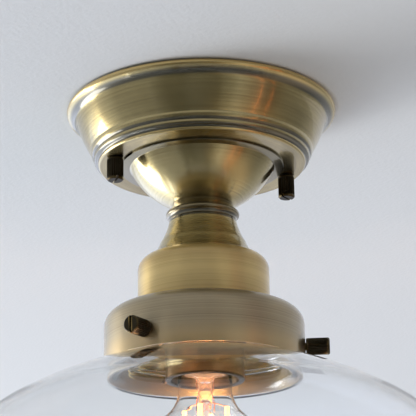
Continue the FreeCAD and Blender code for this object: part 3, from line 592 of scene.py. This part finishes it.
# %% Cups
def spun_cup(name, node, hole, radius, corner, top, low, sheet, brass):
    """A cup of sheet brass with a hole in its top and a rounded shoulder."""
    lathe(name, [
        (hole, -top - sheet),
        (radius - corner, -top - sheet),
        (radius - sheet, -top - corner, sheet - corner),
        (radius - sheet, -low),
        (radius, -low),
        (radius, -top - corner),
        (radius - corner, -top, corner),
        (hole, -top),
    ], brass, nodes=[node], steps=192, edge=0.3)


GALLERY_TOP = 108.9
GALLERY_RIM = 137.0
HOLDER = 20.1
spun_cup("holder_cup", "lampholder_cup", hole=STEM, radius=33.5, corner=7.0,
         top=CUP_TOP, low=GALLERY_TOP, sheet=1.0, brass=CUP_BRASS)
spun_cup("gallery_cup", "shade_gallery", hole=HOLDER + 0.3, radius=50.5, corner=8.5,
         top=GALLERY_TOP, low=GALLERY_RIM, sheet=1.2, brass=GALLERY_BRASS)

# %% [markdown]
# ## The lampholder
# Only its sleeve shows, through the glass. It is machined brass with a plain mouth, and its
# flange sits on the gallery's top.

# %% Lampholder sleeve
HOLDER_BORE = 17.1
MOUTH = 141.0
FLANGE, FLANGE_THICKNESS = 4.0, 2.0
lathe("holder_skirt", [
    (HOLDER_BORE, -MOUTH),
    (HOLDER - 0.6, -MOUTH),
    (HOLDER, -MOUTH + 0.6, 0.6),
    (HOLDER, -GALLERY_TOP),
    (HOLDER + FLANGE, -GALLERY_TOP),
    (HOLDER + FLANGE, -GALLERY_TOP + FLANGE_THICKNESS),
    (HOLDER, -GALLERY_TOP + FLANGE_THICKNESS),
    (HOLDER, -99.0),
    (HOLDER_BORE, -99.0),
], SLEEVE_BRASS, nodes=["holder_sleeve"])

# %% [markdown]
# ## The glass shade
# A blown bell: a lip that the three screws hold, a short neck, and a wide shoulder. It is a
# real wall with an inner and an outer skin, because glass only looks right as a solid.

# %% Glass shade
NECK = 45.0
LIP = 48.0
WALL = 3.0
SHADE = 150.0
RIM_DEPTH = 252.0
lathe("shade_glass", [
    (NECK - WALL, -122.4),
    (NECK - WALL, -134.0),
    (NECK - WALL + 4.6, -139.6, 6.0),
    (98.1, -161.4, -190.0),
    (135.6, -203.4, -98.0),
    (SHADE - WALL, -246.0, -82.0),
    (SHADE - WALL, 1.5 - RIM_DEPTH),
    (SHADE, 1.5 - RIM_DEPTH, 1.65),
    (SHADE, -246.0),
    (138.0, -201.6, 85.0),
    (100.0, -158.8, 101.0),
    (NECK + 4.8, -137.5, 193.0),
    (NECK, -133.6, -4.2),
    (NECK, -126.4),
    (LIP - 1.4, -125.8),
    (LIP - 1.4, -122.2, 1.9),
], SHADE_GLASS, nodes=["glass_shade"], steps=256, edge=0.5)

# %% [markdown]
# ## Knurled nuts and thumb screws
# A knurled head is a toothed disc pulled out along its axis. It is a circle extruded in stages:
# the middle stages follow a wave of teeth, and the others leave both ends turned smooth. The
# driver slot is cut with a boolean, as a saw cuts it.

# %% Knurled head
KNURLS = 28
KNURL_DEPTH = 0.4
HEAD_RADIUS = 4.25
CHAMFER = 0.5
SHANK_CHAMFER = 0.4


def knurled_head(length):
    """A head from z = 0 to z = length. Each stage is a rise, a change of radius, and teeth."""
    stages = [
        (CHAMFER, 0.0, False),
        (0.6, 0.0, False),
        (0.15, 0.0, True),
        (length - 2.9, 0.0, True),
        (0.15, 0.0, False),
        (0.9, 0.0, False),
        (0.6, -0.6, False),
        (0.0, -1.1, False),
    ]
    mesh = bmesh.new()
    bmesh.ops.create_circle(mesh, radius=(HEAD_RADIUS - CHAMFER) * MM, segments=KNURLS * 4)
    loop = list(mesh.edges)
    bmesh.ops.contextual_create(mesh, geom=loop)
    for rise, change, toothed in stages:
        grown = bmesh.ops.extrude_edge_only(mesh, edges=loop)["geom"]
        verts = [g for g in grown if isinstance(g, bmesh.types.BMVert)]
        loop = [g for g in grown if isinstance(g, bmesh.types.BMEdge)
                and all(v in verts for v in g.verts)]
        bmesh.ops.translate(mesh, verts=verts, vec=(0, 0, rise * MM))
        for vertex in verts:
            angle = math.atan2(vertex.co.y, vertex.co.x)
            tooth = 0.5 + 0.5 * math.cos(KNURLS * angle)
            radius = HEAD_RADIUS + change - (KNURL_DEPTH * (1 - tooth) if toothed else 0.0)
            vertex.co.x = radius * MM * math.cos(angle)
            vertex.co.y = radius * MM * math.sin(angle)
    bmesh.ops.contextual_create(mesh, geom=loop)
    return mesh


def add_shank(mesh, radius, length):
    """A plain shank below z = 0, with its tip turned a little smaller."""
    tip = bmesh.ops.create_cone(
        mesh, cap_ends=True, segments=32, radius1=(radius - SHANK_CHAMFER) * MM,
        radius2=radius * MM, depth=CHAMFER * MM)["verts"]
    bmesh.ops.translate(mesh, verts=tip, vec=(0, 0, -(length - CHAMFER / 2) * MM))
    rod = bmesh.ops.create_cone(
        mesh, cap_ends=True, segments=32, radius1=radius * MM, radius2=radius * MM,
        depth=(length - CHAMFER) * MM)["verts"]
    bmesh.ops.translate(mesh, verts=rod, vec=(0, 0, -(length - CHAMFER) / 2 * MM))


# %% Driver slot
SLOT_LENGTH, SLOT_WIDTH, SLOT_DEPTH = 14.0, 1.1, 1.5


def slotted(piece, matrix, length):
    """Saws the driver slot across the head's free end."""
    saw_cut = Matrix.Diagonal((SLOT_LENGTH * MM, SLOT_WIDTH * MM, 2 * SLOT_DEPTH * MM, 1))
    cutter_mesh = bmesh.new()
    bmesh.ops.create_cube(cutter_mesh, size=1.0)
    bmesh.ops.transform(
        cutter_mesh, verts=cutter_mesh.verts,
        matrix=matrix @ Matrix.Translation((0, 0, length * MM)) @ saw_cut)
    data = bpy.data.meshes.new("slot_cutter")
    cutter_mesh.to_mesh(data)
    cutter_mesh.free()
    cutter = bpy.data.objects.new("slot_cutter", data)
    bpy.context.scene.collection.objects.link(cutter)
    saw = piece.modifiers.new("slot", "BOOLEAN")
    saw.object = cutter
    saw.operation = "DIFFERENCE"
    saw.solver = "EXACT"
    bpy.context.view_layer.update()
    sawn = piece.evaluated_get(bpy.context.evaluated_depsgraph_get())
    cut = bpy.data.meshes.new_from_object(sawn)
    piece.modifiers.clear()
    piece.data = cut
    bpy.data.objects.remove(cutter)


def fastener(name, node, matrix, length, shank_radius=0.0, shank_length=0.0):
    """A knurled, slotted head, with a shank where it has one, on its own body."""
    mesh = knurled_head(length)
    if shank_length:
        add_shank(mesh, shank_radius, shank_length)
    bmesh.ops.transform(mesh, verts=mesh.verts, matrix=matrix)
    piece = finish_piece(mesh, name, BRONZE, node, [node])
    slotted(piece, matrix, length)


# %% Rose nuts
STUD_OFFSET = 46.8
NUT_LENGTH = 12.0
NUT_CLEARANCE = 0.3
for name, side, turn in (("left", -1, 90.0), ("right", 1, 35.0)):
    place = Matrix.Translation((side * STUD_OFFSET * MM, 0, -(PAN_DEPTH + NUT_CLEARANCE) * MM))
    turned = Matrix.Rotation(math.radians(turn), 4, "Z") @ Matrix.Rotation(math.pi, 4, "X")
    fastener("nut_" + name, "rose_nut_" + name, place @ turned, NUT_LENGTH)

# %% Thumb screws
SCREW_DEPTH = 128.5
SCREW_TIP = 45.4
SEAT = 50.8
HEAD_LENGTH = 11.8
SHANK_RADIUS = 2.0
for name, degrees in (("left", 217.0), ("right", 337.0), ("back", 97.0)):
    angle = math.radians(degrees)
    outward = Vector((math.cos(angle), math.sin(angle), 0))
    place = Matrix.Translation(outward * SEAT * MM - Vector((0, 0, SCREW_DEPTH * MM)))
    turned = Matrix.Rotation(angle, 4, "Z") @ Matrix.Rotation(math.pi / 2, 4, "Y")
    fastener("thumb_screw_" + name, "shade_screw_" + name, place @ turned, HEAD_LENGTH,
             SHANK_RADIUS, SEAT - SCREW_TIP)

# %% [markdown]
# ## The bulb
# An E27 filament bulb. The envelope is a thin blown shell, and inside it a glass stem carries
# four filament rods on fine wires.

# %% Bulb envelope
BULB_NECK = 13.7
BALL = 30.0
BALL_DEPTH = 183.0
FLARE = 17.9
CAP_END = 134.2
THIN_WALL = 0.8
ACROSS, ALONG = BULB_NECK + FLARE, 36.0
SPAN = math.hypot(ACROSS, ALONG)


def meeting(radius):
    """Where the flare's arc meets a ball of that radius: on the line between their centres."""
    return radius * ACROSS / SPAN, -BALL_DEPTH + radius * ALONG / SPAN


lathe("bulb_envelope", [
    (0.0, -BALL_DEPTH - BALL),
    (BALL, -BALL_DEPTH, BALL),
    (*meeting(BALL), BALL),
    (BULB_NECK, -BALL_DEPTH + ALONG, -FLARE),
    (BULB_NECK, -CAP_END - 1.0),
    (12.5, -CAP_END),
    (11.7, -CAP_END),
    (BULB_NECK - THIN_WALL, -CAP_END - 1.6),
    (BULB_NECK - THIN_WALL, -BALL_DEPTH + ALONG),
    (*meeting(BALL - THIN_WALL), FLARE + THIN_WALL),
    (BALL - THIN_WALL, -BALL_DEPTH, THIN_WALL - BALL),
    (0.0, -BALL_DEPTH - BALL + THIN_WALL, THIN_WALL - BALL),
], BULB_GLASS, body="bulb", nodes=["bulb_glass"], steps=128, edge=0)

# %% Bulb stem
lathe("bulb_mount", [
    (0.0, -199.0),
    (1.4, -198.4),
    (1.4, -160.0),
    (3.4, -155.0),
    (3.4, -143.0),
    (8.0, -137.0, -9.0),
    (11.5, -135.6),
    (11.5, -134.6),
    (7.0, -136.2),
    (2.4, -142.0, 8.0),
    (0.0, -142.0),
], MOUNT_GLASS, body="bulb", nodes=["bulb_stem"], steps=48, edge=0)

# %% [markdown]
# ## Feed wires
# Fine copper wires climb the glass stem in a loose twist. Each one is a small circle spun round
# the axis while it moves down, which makes a helix.

# %% Feed wires
FEED_WIRES = 8
WIRE, WIRE_SIDES = 0.2, 8
TWIST, TWIST_STEPS = math.radians(130), 24
FEED_TOP, FEED_LOW, FEED_CIRCLE = -139.5, -158.0, 4.4
fall = (FEED_LOW - FEED_TOP) / TWIST_STEPS * MM
feed = bmesh.new()
for number in range(FEED_WIRES):
    lean = 1 if number % 2 else -1
    end = bmesh.ops.create_circle(
        feed, cap_ends=False, segments=WIRE_SIDES, radius=WIRE * MM)["verts"]
    start = Matrix.Rotation(FULL_TURN * number / FEED_WIRES, 4, "Z") @ Matrix.Translation(
        (FEED_CIRCLE * MM, 0, FEED_TOP * MM)) @ Matrix.Rotation(math.pi / 2, 4, "X")
    bmesh.ops.transform(feed, verts=end, matrix=start)
    rim = list({edge for vertex in end for edge in vertex.link_edges})
    bmesh.ops.spin(feed, geom=end + rim, cent=(0, 0, 0), axis=(0, 0, 1), angle=TWIST * lean,
                   steps=TWIST_STEPS, dvec=(0, 0, fall))
bmesh.ops.holes_fill(feed, edges=feed.edges[:], sides=WIRE_SIDES)
bmesh.ops.recalc_face_normals(feed, faces=feed.faces)
for face in feed.faces:
    face.smooth = True
feed_wires = as_object("bulb_feed_wires", feed, COPPER)
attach(feed_wires, "bulb")
print("feed wires: %d faces" % len(feed_wires.data.polygons))

# %% [markdown]
# ## What stays as the solid model made it
# The strap, studs, nuts, terminal block and the inside of the lampholder are right as they
# are. They only get their finishes.

# %% Finishes of the inner pieces
FINISHES = {
    STEEL: ["mounting_strap", "strap_studs", "stud_lock_nuts", "earth_screw",
            "terminal_block_screws", "stem_washer", "stem_top_nut", "stem_lower_nut"],
    PLAIN_BRASS: ["stem_tube", "holder_cap", "shade_ring", "screw_shell", "centre_contact",
                  "contact_screws", "terminal_screws"],
    PALE_MOULDING: ["terminal_block", "holder_insulator"],
    CAP_METAL: ["bulb_cap", "bulb_tip_contact"],
    COPPER: ["bulb_lead_wires"],
    BLACK_GLASS: ["bulb_cap_insulator"],
    FILAMENT: ["bulb_filaments"],
    BROWN_PVC: ["lead_live"],
    BLUE_PVC: ["lead_neutral"],
    EARTH_PVC: ["lead_earth"],
}
for material, nodes in FINISHES.items():
    for node in nodes:
        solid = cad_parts[node]
        solid.data.materials.clear()
        solid.data.materials.append(material)
print("finished", sum(len(nodes) for nodes in FINISHES.values()), "inner pieces")

# %% [markdown]
# ## Ceiling and floor
# The light hangs from a pale ceiling. The ceiling is one sided: from above it lets the view
# through, so that the light can be looked at from every side. The round hole in it, which the
# pan hides from below, lets light into the pan, so that its inside shows from above.

# %% Ceiling and floor
def on_stage(name, mesh, material):
    """Puts a bmesh in the scene as part of the room and not of the light."""
    thing = as_object(name, mesh, material)


def painted(name, code, one_sided):
    """Matt wall paint with the faint stipple of a roller, about 2.5 mm from bump to bump."""
    material, tree = new_material(name)
    place = add(tree, "ShaderNodeTexCoord").outputs["Object"]
    stipple = add(tree, "ShaderNodeTexNoise", links={"Vector": place}, Scale=420.0, Detail=2.0)
    rolled = add(tree, "ShaderNodeBump", links={"Height": stipple.outputs[0]},
                 Strength=0.5, Distance=0.4 * MM)
    paint = add(tree, "ShaderNodeBsdfPrincipled", links={"Normal": rolled.outputs[0]},
                Base_Color=colour(code), Roughness=0.9)
    if not one_sided:
        output(tree, paint.outputs[0])
        return material
    side = add(tree, "ShaderNodeNewGeometry").outputs["Backfacing"]
    clear = add(tree, "ShaderNodeBsdfTransparent")
    pick = add(tree, "ShaderNodeMixShader",
               links={0: side, 1: clear.outputs[0], 2: paint.outputs[0]})
    output(tree, pick.outputs[0])
    return material


HOLE, CEILING_REACH = 0.058, 2.2
CEILING_GAP = 0.4 * MM
plaster = bmesh.new()
bmesh.ops.create_circle(plaster, segments=96, radius=HOLE)
bmesh.ops.create_circle(plaster, segments=96, radius=CEILING_REACH)
bmesh.ops.bridge_loops(plaster, edges=plaster.edges[:])
bmesh.ops.translate(plaster, verts=plaster.verts, vec=(0, 0, CEILING_GAP))
bmesh.ops.recalc_face_normals(plaster, faces=plaster.faces)
if plaster.faces[:][0].normal.z < 0:
    bmesh.ops.reverse_faces(plaster, faces=plaster.faces)
on_stage("ceiling", plaster, painted("ceiling_paint", "#EAEDED", True))

FLOOR_REACH, FLOOR_DROP = 1.2, 2.3
boards = bmesh.new()
bmesh.ops.create_grid(boards, x_segments=1, y_segments=1, size=FLOOR_REACH)
bmesh.ops.translate(boards, verts=boards.verts, vec=(0, 0, -FLOOR_DROP))
on_stage("floor", boards, painted("floor_paint", "#C9CBCD", False))
print("ceiling %.1f m across, floor %.1f m below it" % (2 * CEILING_REACH, FLOOR_DROP))

# %% [markdown]
# ## Lamps and room
# Brushed brass is a mirror stretched along one line, so it looks like what stands round it. In
# the photograph a bright window lies to the left and beyond the light, a paler stretch of wall
# to the right in front, and the room behind the camera is dark. That gives the bright left edge,
# the pale band right of the middle and the dark middle. Two narrow warm lamps in the room give
# the orange streaks, and the filaments light the inside of the cups. The world is that room: one
# colour for each bearing round the light.

# %% Lamps
MIDDLE_OF_LIGHT = Vector((0, 0, -0.09))


def facing_the_light(place):
    """A matrix at place whose -Z looks at the middle of the ceiling light."""
    turn = (MIDDLE_OF_LIGHT - place).to_track_quat("-Z", "Y")
    return Matrix.Translation(place) @ turn.to_matrix().to_4x4()


def softbox(name, place, width, height, brightness, tint):
    """A soft rectangle of light; a mirror shows brightness 1 as white."""
    data = bpy.data.lights.new(name, "AREA")
    data.shape = "RECTANGLE"
    data.size = width
    data.size_y = height
    data.energy = brightness * math.pi * width * height
    data.color = colour(tint)[:3]
    lamp = bpy.data.objects.new(name, data)
    lamp.matrix_world = facing_the_light(place)
    bpy.context.scene.collection.objects.link(lamp)
    print("%s: %.1f W" % (name, data.energy))


def small_globe(name, place, radius, watts, tint):
    """A small globe of light that the eye doesn't see, straight or through glass."""
    data = bpy.data.lights.new(name, "POINT")
    data.shadow_soft_size = radius
    data.energy = watts
    data.color = colour(tint)[:3]
    lamp = bpy.data.objects.new(name, data)
    lamp.matrix_world = Matrix.Translation(place)
    lamp.visible_camera = False
    lamp.visible_transmission = False
    bpy.context.scene.collection.objects.link(lamp)
    print("%s: %.2f W" % (name, watts))


STREAK, STREAK_LENGTH = 0.016, 1.4
WARM_LAMP = "#FF8A3C"
softbox("window", from_camera(-2.02, 1.2, -1.1), 1.15, 1.5, brightness=6.6, tint="#F8FAFF")
softbox("room_lamp_near", from_camera(1.12, -0.755, -0.9), STREAK, STREAK_LENGTH,
        brightness=4.0, tint=WARM_LAMP)
softbox("room_lamp_far", from_camera(1.28, -0.53, -0.9), STREAK, STREAK_LENGTH,
        brightness=3.2, tint=WARM_LAMP)
small_globe("filament_glow", Vector((0, 0, -0.172)), radius=0.008, watts=0.6, tint="#FFC8A0")

# %% Room
# How bright the room is at each angle, in degrees, and its tint. 0 is behind the camera, a
# negative angle is to its left, and 180 is beyond the light. 1 is white.
ROOM = [
    (-180, 0.7, "#F2F4FF"), (-155, 2.0, "#E0EAFF"), (-133, 2.0, "#E0EAFF"),
    (-124, 1.5, "#E6EEFF"), (-113, 0.95, "#FAF9FC"), (-103, 0.72, "#ECF2FF"),
    (-92, 0.66, "#EAF2FF"), (-85, 0.46, "#EEF4FF"), (-64, 0.40, "#F0F6FF"),
    (-50, 0.33, "#F2F8FF"), (-47, 0.46, "#EAF2FF"), (-44, 0.27, "#F2F8FF"),
    (-31, 0.14, "#FAFFFA"), (-16, 0.12, "#FAFFFA"), (-11, 0.17, "#F4FAFF"),
    (17, 0.16, "#F8FCF8"), (21, 0.28, "#F6FCFC"), (30, 0.36, "#F4FAFC"),
    (35, 0.55, "#F4FAFF"), (41, 0.50, "#FAFAFA"), (48, 0.37, "#FFF4F0"),
    (59, 0.31, "#FFECE4"), (65, 0.14, "#FFF6EE"), (72, 0.14, "#FFF4EC"),
    (78, 0.22, "#FFF4EA"), (84, 0.25, "#F8FAFA"), (112, 0.27, "#F2F8FF"),
    (135, 0.46, "#F6FAFF"), (160, 0.62, "#F2F6FF"), (179, 0.7, "#F2F4FF"),
]
ROOM_MOST = 2.0

world = bpy.data.worlds.new("room")
bpy.context.scene.world = world
world.use_nodes = True
room = world.node_tree
room.nodes.clear()
direction = add(room, "ShaderNodeTexCoord").outputs["Generated"]
turned = add(room, "ShaderNodeVectorRotate", {"rotation_type": "Z_AXIS"}, {"Vector": direction},
             Angle=math.radians(180.0 - FRAME_DEGREES))
parts = add(room, "ShaderNodeSeparateXYZ", links={"Vector": turned.outputs[0]})
bearing = add(room, "ShaderNodeMath", {"operation": "ARCTAN2"},
              {0: parts.outputs["X"], 1: parts.outputs["Y"]})
along = add(room, "ShaderNodeMapRange", links={"Value": bearing.outputs[0]},
            From_Min=math.pi, From_Max=-math.pi)
walls = add(room, "ShaderNodeValToRGB", links={0: along.outputs[0]})
stops = walls.color_ramp.elements
while len(stops) < len(ROOM):
    stops.new(0.5)
for stop, (angle, brightness, tint) in zip(stops, ROOM):
    stop.position = (angle + 180) / 360
    stop.color = [c * brightness / ROOM_MOST for c in colour(tint)[:3]] + [1.0]
around = add(room, "ShaderNodeBackground", links={"Color": walls.outputs[0]},
             Strength=ROOM_MOST)
print("room: %d stretches of wall" % len(ROOM))

# %% Warm boards low on the right
to_the_right = add(room, "ShaderNodeMapRange", links={"Value": parts.outputs["X"]},
                   From_Min=0.0, From_Max=-1.0)
low = add(room, "ShaderNodeMapRange", links={"Value": parts.outputs["Z"]},
          From_Min=-0.45, From_Max=-0.75)
lit = add(room, "ShaderNodeMath", {"operation": "MULTIPLY"},
          {0: to_the_right.outputs[0], 1: low.outputs[0]})
warm_boards = add(room, "ShaderNodeBackground", links={"Strength": lit.outputs[0]},
                  Color=colour("#E0C29E"))
both = add(room, "ShaderNodeAddShader", links={0: around.outputs[0], 1: warm_boards.outputs[0]})
add(room, "ShaderNodeOutputWorld", links={"Surface": both.outputs[0]})
bpy.context.scene.view_settings.view_transform = "Standard"
